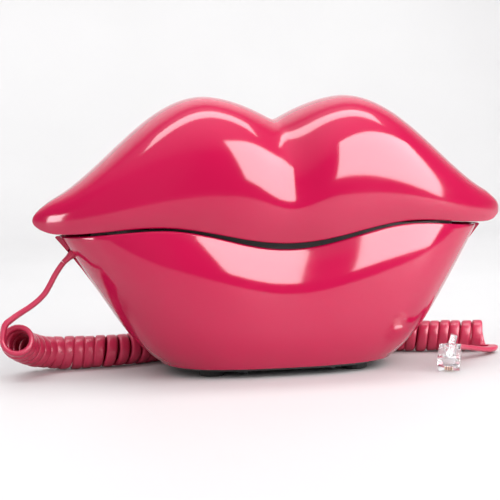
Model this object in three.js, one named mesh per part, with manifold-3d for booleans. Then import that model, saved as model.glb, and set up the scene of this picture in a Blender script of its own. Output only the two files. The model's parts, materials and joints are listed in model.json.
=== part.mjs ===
// Lips-shaped telephone: the handset is the upper lip and the base is the lower lip.
// Millimetres, +Z up, X along the mouth, the front is -Y. The origin is on the ground
// under the middle of the telephone.
import * as THREE from 'three';
import { mergeVertices } from 'three/addons/utils/BufferGeometryUtils.js';
import Module from 'manifold-3d';

const wasm = await Module();
wasm.setup();

// ---- driving dimensions ----
const GAP = 0.35;               // clearance between neighbouring pieces
const WALL = 2.5;               // moulded shell wall

const HANDSET_LENGTH = 220;     // tip to tip
const HANDSET_DEPTH = 90;       // front to back at the fullest section
const PEAK_Z = 125;             // top of the two lobes of the upper lip
const PEAK_X = 31;              // half the distance between the lobes
const DIP_DEPTH = 10.8;         // drop from the lobes to the notch between them
const SHOULDER_Z = 76;          // height that the crest runs out to at the tips
const SHOULDER_RUN = 85;        // length of the slope from a lobe to its tip
const TIP_Z = 71;               // height of the tips
const TIP_ROUND = 10;           // length over which a tip rounds off
const GROOVE_DEPTH = 7;         // groove down the middle of the upper lip
const GROOVE_WIDTH = 14;
const GROOVE_LOW_SHARE = 0.25;  // share of that depth that is left where the lip stands out most
const BULGE_Z = 81.5;           // height where the upper lip stands out most
const BULGE_DROP = 11;          // how far that height falls towards the tips
const BULGE_DIP = 6;            // how far it falls in the middle groove
const HANDSET_UNDERCUT = 5;     // how far the upper lip turns in at its bottom edge

const SEAM_LOW_Z = 59.5;        // bottom of the upper lip in the middle
const SEAM_RISE = 8;            // rise of the seam towards the sides
const SEAM_RISE_X = 58;         // where the seam is highest
const SEAM_FALL = 2.5;          // fall of the seam from there to the corners
const SEAM_GAP = 0.9;           // slit between the lips at the corners
const SEAM_GAP_MIDDLE = 1.7;    // extra slit in the middle

const CORNER_OVERHANG = 12;     // how far the upper lip's tips stand out past the lower lip's rim
const RIM_HALF_LENGTH = HANDSET_LENGTH / 2 - CORNER_OVERHANG;
const RIM_DEPTH = 78;
const BASE_DEPTH = 90;          // lower lip at its fullest
const BASE_BULGE_V = 0.36;      // share of the height, from the rim down, where that is
const BASE_FLATNESS = 3.2;      // above 2 makes the front and rear flatter than an ellipse
const RIM_BLUNTNESS = 0.62;     // how pointed the corners are at the rim, and how much less lower down
const BLUNTNESS_FALL = 0.15;
const BASE_HOLLOW_DEPTH = 3;    // shallow hollow down the middle of the lower lip
const BASE_HOLLOW_WIDTH = 27;
const FOOT_HALF_LENGTH = 52;    // lower lip where it stands
const FOOT_DEPTH = 64;
const FOOT_ROUND = 8;           // rounding of the bottom edge, lengthwise and front to back
const FOOT_ROUND_DEPTH = 3;
const FOOT_EDGE_Z = 4;          // bottom edge of the shells
const REAR_FLARE = 3;           // the rear shell is this much longer at the rim
const REAR_FLARE_V = 0.45;      // share of the height where the flare dies out
const PARTING_GAP = 0.16;       // half the slit between front and rear shells

const PLATE_BOTTOM_Z = 3;       // bottom plate
const PLATE_THICKNESS = 3;
const RUBBER_FOOT_R = 6;
const RUBBER_FOOT_X = 33;
const RUBBER_FOOT_Y = 15;

const DECK_TOP_Z = 52;          // cradle deck inside the rim
const DECK_THICKNESS = 2.5;
const DECK_CLEARANCE = 0.9;     // round the deck, inside the shells
const COLLAR_CLEARANCE = 0.8;   // from the deck's collar to the shells and the handset
const COLLAR_WALL = 1.6;
const COLLAR_BELOW_COVER = 1.5;
const COLLAR_END_INSET = 8;     // from the rim's corners to the ends of the collar
const LEDGE_X = 56;             // ledges on the shells, under the deck
const LEDGE_WIDTH = 8;
const LEDGE_HEIGHT = 3;
const LEDGE_REACH = 14;         // inwards from the rim's front and rear
const REST_X = 36;              // cradle posts that the handset rests on
const REST_R = 4;
const REST_CLEARANCE = 2.8;     // from the posts to the collar
const PAD_THICKNESS = 1.6;

const COVER_BOTTOM_Z = 68.3;    // handset cover, which carries the keys
const COVER_THICKNESS = 2.4;
const COVER_END_INSET = 17;     // from the tips of the handset to the ends of the cover
const COVER_HALF_LENGTH = HANDSET_LENGTH / 2 - COVER_END_INSET;
const COVER_CLEARANCE = 0.7;    // round the cover, inside the shell

const KEY_LENGTH = 8;           // along Y
const KEY_WIDTH = 9;            // along X
const KEY_PITCH_X = 13;
const KEY_PITCH_Y = 12;
const KEY_STANDS_OUT = 2.5;     // below the cover
const KEY_TRAVEL = 1.2;
const KEY_FLANGE = 0.8;
const FUNCTION_KEY_X = 38;
const FUNCTION_KEY_Y = 9;
const FUNCTION_KEY_WIDTH = 6;

const KEYPAD_MARGIN = 3;        // rubber mat round the keys
const MAT_THICKNESS = 1.2;
const HANDSET_BOARD_MARGIN = 2; // circuit board round the mat
const HANDSET_WEIGHT = { halfLength: 24, halfDepth: 12, height: 9 };

const SPEAKER_X = -39 - PEAK_X; // under the slope of the left lobe
const SPEAKER_R = 13;
const SPEAKER_HOLE_R = 1.2;
const SPEAKER_HOLE_RING_R = 6;
const MIC_X = 41 + PEAK_X;      // under the slope of the right lobe
const MIC_R = 5;

const SCREW_R = 1.4;
const SCREW_HEAD_R = 2.8;
const SCREW_HEAD_H = 1.5;
const BOSS_R = 3.6;
const COVER_SCREW_X = 52;
const COVER_SCREW_Y = 15;
const BASE_SCREW_X = 20;
const BASE_SCREW_Y = FOOT_DEPTH / 2 - 10;
const BASE_BOSS_TOP_Z = 17;
const BASE_RIB_THICKNESS = 2.4;

const HOOK_X = -54;             // hook plunger
const HOOK_R = 3.5;
const HOOK_TRAVEL = 3;
const HOOK_FLANGE_R = 6.5;
const HOOK_FLANGE_THICKNESS = 1.5;
const SPRING_R = 4.6;
const SPRING_WIRE_R = 0.5;
const SPRING_TURNS = 4;
const HOOK_SWITCH = { halfLength: 8, halfDepth: 6, height: 5 };

const BOARD_Z = 24;             // circuit board in the base
const BOARD_THICKNESS = 1.6;
const BOARD_HALF_DEPTH = 14;
const BOARD_LEFT_X = HOOK_X - 10;
const BOARD_RIGHT_X = 24;
const BOARD_POST_R = 2.6;
const BOARD_POSTS = [[-38, -10], [-38, 10], [18, -10], [18, 10]];
const BASE_WEIGHT = { left: -32, right: 10, halfDepth: 15, height: 9 };
const RINGER_X = 33;
const RINGER_R = 9;

const PLUG_WIDTH = 9.65;        // modular plug
const PLUG_HEIGHT = 6.6;
const PLUG_LENGTH = 12.3;
const PLUG_PLACE = [73.6, -32.2, 8.5];
const PLUG_NOSE_DOWN = 24;      // degrees
const PLUG_TURN = 155;          // degrees, the way its nose points, about Z from +Y
const JACK_WALL = 1.6;          // modular jacks
const JACK_FLOOR = 2;
const SOCKET_CLEARANCE = 0.25;
const HANDSET_JACK = { x: -44, z: BULGE_Z + 6.5, recess: 3, deep: 14 };
const LINE_JACK = { x: 0, z: 19, recess: 1.5, deep: 13 };

const SWITCHES = [{ name: 'ringer', x: -24 }, { name: 'tone', x: 24 }];
const SWITCH_Z = 23;
const SWITCH_BODY = { halfWidth: 6, halfHeight: 3.5, deep: 7 };
const SWITCH_CLEARANCE = 0.8;   // from a switch's body to the shell
const KNOB = { width: 4, height: 3, travel: 1.5, outside: 0.8 };

const GLAND_DIRECTION = new THREE.Vector3(-0.74, 0, -0.67).normalize();
const GLAND_Z = 54.9;           // height where the strain relief comes out of the left corner
const GLAND_R = 2.7;
const GLAND_HEAD_R = GLAND_R + 1.6;
const GLAND_INSIDE = 6;         // from the shell's outside to the near face of the relief's head
const GLAND_HEAD = 1.6;         // thickness of the head
const GLAND_OUTSIDE = 4;        // how far the relief stands out
const GLAND_TAPER = 5;

const CORD_WIDTH = 5;           // flat cord
const CORD_THICKNESS = 2.4;
const COIL_OUTSIDE = 15.2;      // outside diameter of the curly cord

// ---- materials ----
const paint = (color, roughness, metalness = 0) =>
  new THREE.MeshStandardMaterial({ color, roughness, metalness });
const pinkPlastic = paint(0xcf0f4c, 0.12);
const cordPlastic = paint(0xd23a63, 0.35);
const blackPlastic = paint(0x1b1b1e, 0.5);
const rubber = paint(0x161616, 0.85);
const whitePlastic = paint(0xf1ece6, 0.35);
const boardGreen = paint(0x1f6b3a, 0.5);
const steel = paint(0xb5b7ba, 0.35, 0.9);
const brass = paint(0xc9a24a, 0.3, 0.9);
const clearPlastic = paint(0xeef2f4, 0.1);

// ---- closed solids ----

// A loft through rings of points. A ring of one point closes to a tip. Any other end is closed
// by a ladder of faces between the ring's first half and its second half.
function loft(rings) {
  const points = [];
  const faces = [];
  const starts = rings.map((ring) => {
    const start = points.length;
    points.push(...ring);
    return start;
  });
  const quad = (a, b, c, d) => faces.push([a, b, c], [a, c, d]);
  for (let r = 0; r + 1 < rings.length; r += 1) {
    const n = Math.max(rings[r].length, rings[r + 1].length);
    const here = (i) => starts[r] + (rings[r].length === 1 ? 0 : i % n);
    const next = (i) => starts[r + 1] + (rings[r + 1].length === 1 ? 0 : i % n);
    for (let i = 0; i < n; i += 1) {
      quad(here(i), here(i + 1), next(i + 1), next(i));
    }
  }
  const ladder = (start, n, flip) => {
    for (let i = 0; i < n / 2 - 1; i += 1) {
      const rung = [start + i, start + i + 1, start + n - 2 - i, start + n - 1 - i];
      quad(...(flip ? rung.reverse() : rung));
    }
  };
  ladder(starts[0], rings[0].length, true);
  ladder(starts.at(-1), rings.at(-1).length, false);
  return closedGeometry(points, faces);
}

// A geometry from points and faces: shared points merged, flat faces dropped, faces pointing out.
function closedGeometry(points, faces) {
  const raw = new THREE.BufferGeometry();
  raw.setAttribute('position', new THREE.Float32BufferAttribute(points.flatMap((p) => [p.x, p.y, p.z]), 3));
  raw.setIndex(faces.flat());
  const merged = mergeVertices(raw, 1e-4);
  const index = merged.getIndex().array;
  const position = merged.getAttribute('position');
  const kept = [];
  let volume = 0;
  const [a, b, c] = [new THREE.Vector3(), new THREE.Vector3(), new THREE.Vector3()];
  for (let i = 0; i < index.length; i += 3) {
    const [p, q, r] = index.slice(i, i + 3);
    if (p !== q && q !== r && r !== p) {
      kept.push([p, q, r]);
      a.fromBufferAttribute(position, p);
      b.fromBufferAttribute(position, q);
      c.fromBufferAttribute(position, r);
      volume += a.dot(b.cross(c));
    }
  }
  const outward = volume < 0 ? kept.map(([p, q, r]) => [p, r, q]) : kept;
  merged.setIndex(outward.flat());
  return merged;
}

function toSolid(geometry) {
  const bare = geometry.clone();
  bare.deleteAttribute('normal');
  bare.deleteAttribute('uv');
  const merged = mergeVertices(bare, 1e-4);
  return new wasm.Manifold(new wasm.Mesh({
    numProp: 3,
    vertProperties: new Float32Array(merged.getAttribute('position').array),
    triVerts: new Uint32Array(merged.getIndex().array),
  }));
}

function fromSolid(solid) {
  const { vertProperties, triVerts } = solid.getMesh();
  const geometry = new THREE.BufferGeometry();
  geometry.setAttribute('position', new THREE.Float32BufferAttribute(vertProperties, 3));
  geometry.setIndex([...triVerts]);
  return geometry;
}

// A box between two corners.
function block(low, high) {
  const size = high.map((value, i) => value - low[i]);
  const box = new THREE.BoxGeometry(...size);
  box.translate(...low.map((value, i) => value + size[i] / 2));
  return box;
}

// A post along Z, with as many sides as asked.
function post(x, y, low, high, radius, sides = 20) {
  const post_ = new THREE.CylinderGeometry(radius, radius, high - low, sides);
  post_.rotateX(Math.PI / 2);
  post_.translate(x, y, (low + high) / 2);
  return post_;
}

// A turned piece about a vertical axis. The profile is [radius, z] from axis to axis.
function turned(x, y, profile, sides = 20) {
  const lathe = new THREE.LatheGeometry(profile.map(([r, z]) => new THREE.Vector2(r, z)), sides);
  lathe.rotateX(Math.PI / 2);
  lathe.translate(x, y, 0);
  return lathe;
}

// Points of a rounded rectangle, half sizes hx and hy, starting at its -X side.
function roundedOutline(hx, hy, radius, z, perCorner = 3) {
  const corners = [[-1, -1, 180], [1, -1, 270], [1, 1, 0], [-1, 1, 90]];
  return corners.flatMap(([sx, sy, from]) => Array.from({ length: perCorner }, (_, i) => {
    const angle = THREE.MathUtils.degToRad(from + (90 * i) / (perCorner - 1));
    const x = sx * (hx - radius) + radius * Math.cos(angle);
    const y = sy * (hy - radius) + radius * Math.sin(angle);
    return new THREE.Vector3(x, y, z);
  }));
}

// A stack of rounded rectangles [hx, hy, z], moved to x, y.
function roundedStack(x, y, levels, radius) {
  const rings = levels.map(([hx, hy, z]) => roundedOutline(hx, hy, Math.min(radius, hx, hy), z));
  const stack = loft(rings);
  stack.translate(x, y, 0);
  return stack;
}

// A plate between two heights from an outline of points, with holes as three.js paths.
function plate(outline, low, high, holes = []) {
  const shape = new THREE.Shape(outline.map((p) => new THREE.Vector2(p.x, p.y)));
  shape.holes.push(...holes);
  const geometry = new THREE.ExtrudeGeometry(shape, {
    depth: high - low, bevelEnabled: false, curveSegments: 6,
  });
  geometry.translate(0, 0, low);
  return geometry;
}

function roundHole(x, y, radius, sides = 12) {
  const points = Array.from({ length: sides }, (_, i) => {
    const angle = (-2 * Math.PI * i) / sides;
    return new THREE.Vector2(x + radius * Math.cos(angle), y + radius * Math.sin(angle));
  });
  return new THREE.Path(points);
}

// ---- the upper lip ----
const TIP_X = HANDSET_LENGTH / 2;

const halfWave = (share) => (1 - Math.cos(Math.PI * THREE.MathUtils.clamp(share, 0, 1))) / 2;

// Height of the crest, with the notch between the lobes and the slopes to the tips.
function crestZ(x) {
  const away = Math.sqrt(x * x + 2) - Math.SQRT2;
  if (away < PEAK_X) {
    return PEAK_Z - DIP_DEPTH * (1 - away / PEAK_X) ** 1.7;
  }
  return PEAK_Z - (PEAK_Z - SHOULDER_Z) * halfWave((away - PEAK_X) / SHOULDER_RUN);
}

// Height of the upper lip's bottom edge.
function seamZ(x) {
  const away = Math.abs(x);
  const fall = halfWave((away - SEAM_RISE_X) / (RIM_HALF_LENGTH - SEAM_RISE_X));
  return SEAM_LOW_Z + SEAM_RISE * halfWave(away / SEAM_RISE_X) - SEAM_FALL * fall;
}

const groove = (x) => Math.exp(-((x / GROOVE_WIDTH) ** 2));

// Height where the upper lip stands out most.
function bulgeZ(x) {
  const drop = BULGE_DROP * halfWave((Math.abs(x) - PEAK_X) / (TIP_X - PEAK_X));
  return BULGE_Z - drop - BULGE_DIP * groove(x);
}

// How a section shrinks over the rounded end of a tip that lies at tipX.
function tipShare(x, tipX) {
  const into = Math.max(0, (Math.abs(x) - (tipX - TIP_ROUND)) / TIP_ROUND);
  return Math.sqrt(Math.max(0, 1 - into * into));
}

// Half the depth of the upper lip at its bulge, without the middle groove.
function handsetHalfDepth(x, inset) {
  const share = Math.max(0, 1 - Math.abs(x / (TIP_X - inset)) ** 2.4) ** 0.8;
  return (HANDSET_DEPTH / 2 - inset) * share;
}

// Depth of the middle groove. Angle runs from 0 at the bulge to 90 at the crest.
function grooveDepth(x, angle) {
  const rise = Math.sin(Math.min(Math.PI / 2, 1.3 * angle));
  return GROOVE_DEPTH * groove(x) * (GROOVE_LOW_SHARE + (1 - GROOVE_LOW_SHARE) * rise);
}

// The heights and half depths that shape one section of the upper lip.
function handsetSection(x, inset) {
  const share = tipShare(x, TIP_X - inset);
  const squeeze = (z) => TIP_Z + (z - TIP_Z) * share;
  const depth = handsetHalfDepth(x, inset);
  const lowDepth = Math.max(0, depth - grooveDepth(x, 0));
  return {
    top: squeeze(crestZ(x)) - inset * share,
    bulge: squeeze(bulgeZ(x)),
    bottom: squeeze(seamZ(x)),
    depth,
    lowDepth,
    undercut: (HANDSET_UNDERCUT * lowDepth) / (HANDSET_DEPTH / 2),
  };
}

const LOWER_STEPS = 3;
const UPPER_STEPS = 7;
const FULLNESS = 0.87;          // below 1 makes a section fuller than an ellipse

// One side of a section, from its bottom edge to the crest, as [half depth, z].
function handsetProfile(x, inset) {
  const { top, bulge, bottom, depth, lowDepth, undercut } = handsetSection(x, inset);
  const profile = [];
  for (let i = 0; i < LOWER_STEPS; i += 1) {
    const share = i / LOWER_STEPS;
    profile.push([lowDepth - undercut * (1 - share) ** 2, bottom + (bulge - bottom) * share]);
  }
  for (let i = 0; i <= UPPER_STEPS; i += 1) {
    const angle = (Math.PI / 2) * (i / UPPER_STEPS);
    const out = Math.max(0, Math.cos(angle)) ** FULLNESS;
    const half = Math.max(0, depth - grooveDepth(x, angle)) * out;
    profile.push([half, bulge + (top - bulge) * Math.sin(angle) ** FULLNESS]);
  }
  return profile;
}

// The solid inside the upper lip's surface, set in by inset and let down by drop at the bottom.
function handsetBody(inset, drop, stations) {
  const tipX = TIP_X - inset;
  const rings = [];
  for (let i = 0; i <= stations; i += 1) {
    const x = tipX * Math.sin((Math.PI / 2) * ((2 * i) / stations - 1));
    if (i === 0 || i === stations) {
      rings.push([new THREE.Vector3(x, 0, TIP_Z)]);
    } else {
      const profile = handsetProfile(x, inset);
      if (drop > 0) {
        profile.unshift([profile[0][0], profile[0][1] - drop]);
      }
      const front = profile.map(([y, z]) => new THREE.Vector3(x, -y, z));
      const back = profile.slice(0, -1).reverse().map(([y, z]) => new THREE.Vector3(x, y, z));
      rings.push([...front, ...back]);
    }
  }
  return toSolid(loft(rings));
}

const COVER_TOP_Z = COVER_BOTTOM_Z + COVER_THICKNESS;

// The four places of a pattern that is symmetric about X and Y.
const fourPlaces = (x, y) => [[-x, -y], [-x, y], [x, -y], [x, y]];
const placeName = ([x, y]) => `${y < 0 ? 'front' : 'rear'}_${x < 0 ? 'left' : 'right'}`;
const coverScrewPlaces = () => fourPlaces(COVER_SCREW_X, COVER_SCREW_Y);

// A block that cuts a jack's window through the rear wall of a shell.
function jackWindow({ x, z }) {
  const halfWidth = PLUG_WIDTH / 2 + JACK_WALL + GAP;
  const halfHeight = PLUG_HEIGHT / 2 + JACK_WALL + GAP;
  const far = Math.max(HANDSET_DEPTH, BASE_DEPTH);
  return block([x - halfWidth, 20, z - halfHeight], [x + halfWidth, far, z + halfHeight]);
}

function handsetShell() {
  const outside = handsetBody(0, 0, 36);
  let shell = outside.subtract(handsetBody(WALL, 12, 24));
  for (const [x, y] of coverScrewPlaces()) {
    const boss = toSolid(post(x, y, COVER_TOP_Z + GAP, PEAK_Z, BOSS_R, 10)).intersect(outside);
    const bore = toSolid(post(x, y, COVER_BOTTOM_Z, COVER_TOP_Z + 12, SCREW_R + GAP, 8));
    shell = shell.add(boss).subtract(bore);
  }
  return fromSolid(shell.subtract(toSolid(jackWindow(HANDSET_JACK))));
}

// Half the depth of the upper lip's outside at a height above its bulge.
function handsetSurface(x, z) {
  const { top, bulge, depth } = handsetSection(x, 0);
  const rise = THREE.MathUtils.clamp((z - bulge) / (top - bulge), 0, 1) ** (1 / FULLNESS);
  return (depth - grooveDepth(x, Math.asin(rise))) * Math.sqrt(1 - rise * rise) ** FULLNESS;
}

// Half the depth inside the upper lip's wall at a height between its bottom edge and its bulge.
function insideHandset(x, z) {
  const { bulge, bottom, lowDepth, undercut } = handsetSection(x, WALL);
  const share = THREE.MathUtils.clamp((z - bottom) / (bulge - bottom), 0, 1);
  return lowDepth - undercut * (1 - share) ** 2 - COVER_CLEARANCE;
}

function coverOutline() {
  const steps = 26;
  const front = [];
  for (let i = 0; i <= steps; i += 1) {
    const x = COVER_HALF_LENGTH * Math.sin((Math.PI / 2) * ((2 * i) / steps - 1));
    front.push(new THREE.Vector2(x, -insideHandset(x, COVER_BOTTOM_Z)));
  }
  const back = front.slice().reverse().map((p) => new THREE.Vector2(p.x, -p.y));
  return [...front, ...back];
}

// ---- the keys ----
const DIAL = [['1', '2', '3'], ['4', '5', '6'], ['7', '8', '9'], ['star', '0', 'hash']];
const keys = DIAL.flatMap((row, i) => row.map((name, j) => ({
  name: `key_${name}`,
  x: (i - 1.5) * KEY_PITCH_X,
  y: (1 - j) * KEY_PITCH_Y,
  width: KEY_WIDTH,
})));
keys.push({ name: 'key_redial', x: FUNCTION_KEY_X, y: FUNCTION_KEY_Y, width: FUNCTION_KEY_WIDTH });
keys.push({ name: 'key_flash', x: FUNCTION_KEY_X, y: -FUNCTION_KEY_Y, width: FUNCTION_KEY_WIDTH });

const KEY_TOP_Z = COVER_TOP_Z + GAP + 0.7;

// A key: a crowned cap that stands out of the cover, and a flange that keeps it in.
function keyGeometry({ x, y, width }) {
  const [hx, hy] = [width / 2, KEY_LENGTH / 2];
  const face = COVER_BOTTOM_Z - KEY_STANDS_OUT;
  const flangeZ = COVER_TOP_Z + GAP;
  return roundedStack(x, y, [
    [hx - 0.8, hy - 0.8, face],
    [hx, hy, face + 0.8],
    [hx, hy, flangeZ],
    [hx + KEY_FLANGE, hy + KEY_FLANGE, flangeZ],
    [hx + KEY_FLANGE, hy + KEY_FLANGE, KEY_TOP_Z],
  ], 1.8);
}

// A block over all the keys with a margin, from a height up.
function aroundKeys(margin, low, thickness) {
  const left = Math.min(...keys.map(({ x, width }) => x - width / 2)) - margin;
  const right = Math.max(...keys.map(({ x, width }) => x + width / 2)) + margin;
  const halfDepth = KEY_PITCH_Y + KEY_LENGTH / 2 + margin;
  return block([left, -halfDepth, low], [right, halfDepth, low + thickness]);
}

function handsetCover() {
  let cover = toSolid(plate(coverOutline(), COVER_BOTTOM_Z, COVER_TOP_Z));
  const [low, high] = [COVER_BOTTOM_Z - 1, COVER_TOP_Z + 1];
  const cut = (tool) => {
    cover = cover.subtract(toSolid(tool));
  };
  const slot = (x, y, hx, hy) => cut(block([x - hx, y - hy, low], [x + hx, y + hy, high]));
  for (const { x, y, width } of keys) {
    slot(x, y, width / 2 + GAP, KEY_LENGTH / 2 + GAP);
  }
  for (const [x, y] of coverScrewPlaces()) {
    cut(post(x, y, low, high, SCREW_R + GAP, 10));
  }
  for (let i = 0; i < 6; i += 1) {
    const angle = (Math.PI * i) / 3;
    const [x, y] = [SPEAKER_X + SPEAKER_HOLE_RING_R * Math.cos(angle), SPEAKER_HOLE_RING_R * Math.sin(angle)];
    cut(post(x, y, low, high, SPEAKER_HOLE_R, 8));
  }
  cut(post(SPEAKER_X, 0, low, high, SPEAKER_HOLE_R, 8));
  for (const y of [-3, 0, 3]) {
    slot(MIC_X, y, 4, 0.7);
  }
  return fromSolid(cover);
}

// ---- the lower lip ----

// Half the slit between the lips widens towards the middle.
const rimZ = (x) => seamZ(x) - SEAM_GAP - SEAM_GAP_MIDDLE * (1 - halfWave(Math.abs(x) / SEAM_RISE_X));

function baseHalfLength(v, rear) {
  const taper = RIM_HALF_LENGTH - FOOT_HALF_LENGTH - FOOT_ROUND;
  const flare = rear ? REAR_FLARE * Math.max(0, 1 - v / REAR_FLARE_V) ** 2 : 0;
  return RIM_HALF_LENGTH - taper * v - FOOT_ROUND * v ** 8 + flare;
}

function baseHalfDepth(v) {
  const full = BASE_DEPTH / 2;
  if (v < BASE_BULGE_V) {
    return full - (full - RIM_DEPTH / 2) * ((BASE_BULGE_V - v) / BASE_BULGE_V) ** 2;
  }
  const taper = full - FOOT_DEPTH / 2 - FOOT_ROUND_DEPTH;
  return full - taper * ((v - BASE_BULGE_V) / (1 - BASE_BULGE_V)) ** 1.7 - FOOT_ROUND_DEPTH * v ** 8;
}

// Share of the full depth at a share of the half length.
function baseFullness(along, v) {
  return Math.max(0, 1 - Math.abs(along) ** BASE_FLATNESS) ** (RIM_BLUNTNESS - BLUNTNESS_FALL * v);
}

// Depth of the hollow down the middle of the lower lip, which fades out towards the bottom.
const baseHollow = (x, v) => BASE_HOLLOW_DEPTH * Math.exp(-((x / BASE_HOLLOW_WIDTH) ** 2)) * (1 - v * v);

// A point of the lower lip. Angle runs from -90 at the left corner to 90 at the right corner, v from
// 0 at the rim to 1 at the bottom edge, side is -1 at the front and 1 at the rear.
function basePoint(side, angle, v, inset) {
  const rim = rimZ(RIM_HALF_LENGTH * Math.sin(angle));
  const x = (baseHalfLength(v, side > 0) - inset) * Math.sin(angle);
  const y = (baseHalfDepth(v) - inset) * baseFullness(Math.sin(angle), v) - baseHollow(x, v);
  return new THREE.Vector3(x, side * Math.max(0, y), rim + (FOOT_EDGE_Z - rim) * v);
}

// The share of the height at which a given level cuts the lower lip.
function levelShare(angle, z) {
  const rim = rimZ(RIM_HALF_LENGTH * Math.sin(angle));
  return THREE.MathUtils.clamp((rim - z) / (rim - FOOT_EDGE_Z), 0, 1);
}

const BASE_STEPS = 24;
const baseAngles = Array.from({ length: BASE_STEPS + 1 }, (_, i) => Math.PI * (i / BASE_STEPS - 0.5));

// The closed outline of the front or rear half at v, with its straight side on the parting plane.
function baseRing(side, v, inset, lift) {
  const ring = baseAngles.map((angle) => basePoint(side, angle, v, inset));
  const chord = ring.slice().reverse().map((p) => new THREE.Vector3(p.x, 0, p.z));
  const shift = new THREE.Vector3(0, side * PARTING_GAP, lift);
  return [...ring, ...chord].map((p) => p.clone().add(shift));
}

const BASE_LEVELS = [0, 0.03, 0.1, 0.2, 0.3, 0.4, 0.52, 0.64, 0.76, 0.86, 0.93, 0.97, 1];

function baseHalf(side, inset, lift) {
  const rings = BASE_LEVELS.map((v) => baseRing(side, v, inset, 0));
  if (lift > 0) {
    rings.unshift(baseRing(side, 0, inset, lift));
    rings.push(baseRing(side, 1, inset, -lift));
  }
  return toSolid(loft(rings));
}

const PLATE_TOP_Z = PLATE_BOTTOM_Z + PLATE_THICKNESS;
const DECK_BOTTOM_Z = DECK_TOP_Z - DECK_THICKNESS;

// The point of the left corner, on the parting line, where the cord comes out.
const LEFT = -Math.PI / 2;
const GLAND_PLACE = new THREE.Vector3(-baseHalfLength(levelShare(LEFT, GLAND_Z), true), 0, GLAND_Z);

// Turns a piece made along +Y into the cord's direction, with its zero where the cord comes out.
function alongGland(geometry) {
  const turn = new THREE.Quaternion().setFromUnitVectors(new THREE.Vector3(0, 1, 0), GLAND_DIRECTION);
  geometry.applyQuaternion(turn);
  geometry.translate(...GLAND_PLACE);
  return geometry;
}

// A round bar along the cord's direction, between two distances from where the cord comes out.
function glandBar(radius, from, to) {
  const bar = new THREE.CylinderGeometry(radius, radius, to - from, 16);
  bar.translate(0, (from + to) / 2, 0);
  return alongGland(bar);
}

// The front or rear shell, with screw bosses, deck ledges and the hole for the cord.
function baseShell(side) {
  const outside = baseHalf(side, 0, 0);
  let shell = outside.subtract(baseHalf(side, WALL, 12));
  const span = (near, far) => (side > 0 ? [near, far] : [-far, -near]);
  for (const x of [-BASE_SCREW_X, BASE_SCREW_X]) {
    const y = side * BASE_SCREW_Y;
    const boss = toSolid(post(x, y, PLATE_TOP_Z + GAP, BASE_BOSS_TOP_Z, BOSS_R, 12));
    const [near, far] = span(BASE_SCREW_Y + 2, BASE_DEPTH / 2);
    const rib = toSolid(block(
      [x - BASE_RIB_THICKNESS / 2, near, PLATE_TOP_Z + GAP],
      [x + BASE_RIB_THICKNESS / 2, far, BASE_BOSS_TOP_Z - 1],
    ));
    const bore = toSolid(post(x, y, 0, BASE_BOSS_TOP_Z - 1.5, SCREW_R + GAP, 10));
    shell = shell.add(boss.add(rib).intersect(outside)).subtract(bore);
  }
  for (const x of [-LEDGE_X, LEDGE_X]) {
    const [near, far] = span(RIM_DEPTH / 2 - LEDGE_REACH, BASE_DEPTH / 2);
    const ledge = toSolid(block(
      [x - LEDGE_WIDTH / 2, near, DECK_BOTTOM_Z - LEDGE_HEIGHT],
      [x + LEDGE_WIDTH / 2, far, DECK_BOTTOM_Z - GAP],
    ));
    shell = shell.add(ledge.intersect(outside));
  }
  shell = shell.subtract(toSolid(glandBar(GLAND_R + GAP, -16, 14)));
  return side > 0 ? rearOpenings(shell) : fromSolid(shell);
}

// The line jack's window and the slots of the two slide switches.
function rearOpenings(shell) {
  let cut = shell.subtract(toSolid(jackWindow(LINE_JACK)));
  const halfWidth = KNOB.width / 2 + KNOB.travel + GAP;
  const halfHeight = KNOB.height / 2 + GAP;
  for (const { x } of SWITCHES) {
    const [low, high] = [SWITCH_Z - halfHeight, SWITCH_Z + halfHeight];
    cut = cut.subtract(toSolid(block([x - halfWidth, 25, low], [x + halfWidth, BASE_DEPTH, high])));
  }
  return fromSolid(cut);
}

// The outline inside the shells at a height, as one loop.
function insideBase(z, clearance) {
  const at = (side) => baseAngles.map((angle) => basePoint(-1, angle, levelShare(angle, z), WALL + clearance))
    .map((p) => new THREE.Vector2(p.x, side * Math.abs(p.y)));
  const front = at(-1);
  const rear = at(1).reverse().slice(1, -1);
  return [...front, ...rear];
}

function bottomPlate() {
  const holes = [];
  for (const [x, y] of fourPlaces(BASE_SCREW_X, BASE_SCREW_Y)) {
    holes.push(roundHole(x, y, SCREW_R + GAP, 10));
  }
  let solid = toSolid(plate(insideBase(FOOT_EDGE_Z, GAP), PLATE_BOTTOM_Z, PLATE_TOP_Z, holes));
  for (const [x, y] of BOARD_POSTS) {
    solid = solid.add(toSolid(post(x, y, PLATE_BOTTOM_Z + 1, BOARD_Z - GAP, BOARD_POST_R, 12)));
  }
  return fromSolid(solid);
}

// Half the depth of the collar on the deck, which stays inside the rim and the handset's bottom edge.
function collarHalfDepth(x) {
  const reach = RIM_HALF_LENGTH - WALL;
  const inRim = (RIM_DEPTH / 2 - WALL) * baseFullness(x / reach, 0) - baseHollow(x, 0);
  const inHandset = insideHandset(x, seamZ(x)) + COVER_CLEARANCE;
  return Math.min(inRim, inHandset) - COLLAR_CLEARANCE;
}

// The filled outline of the deck, clear of the shells at its top and its bottom.
function deckCore(inset, low, high, holes = []) {
  const clearance = DECK_CLEARANCE + inset;
  return toSolid(plate(insideBase(DECK_BOTTOM_Z, clearance), low, high, holes))
    .intersect(toSolid(plate(insideBase(DECK_TOP_Z, clearance), low, high)));
}

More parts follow.
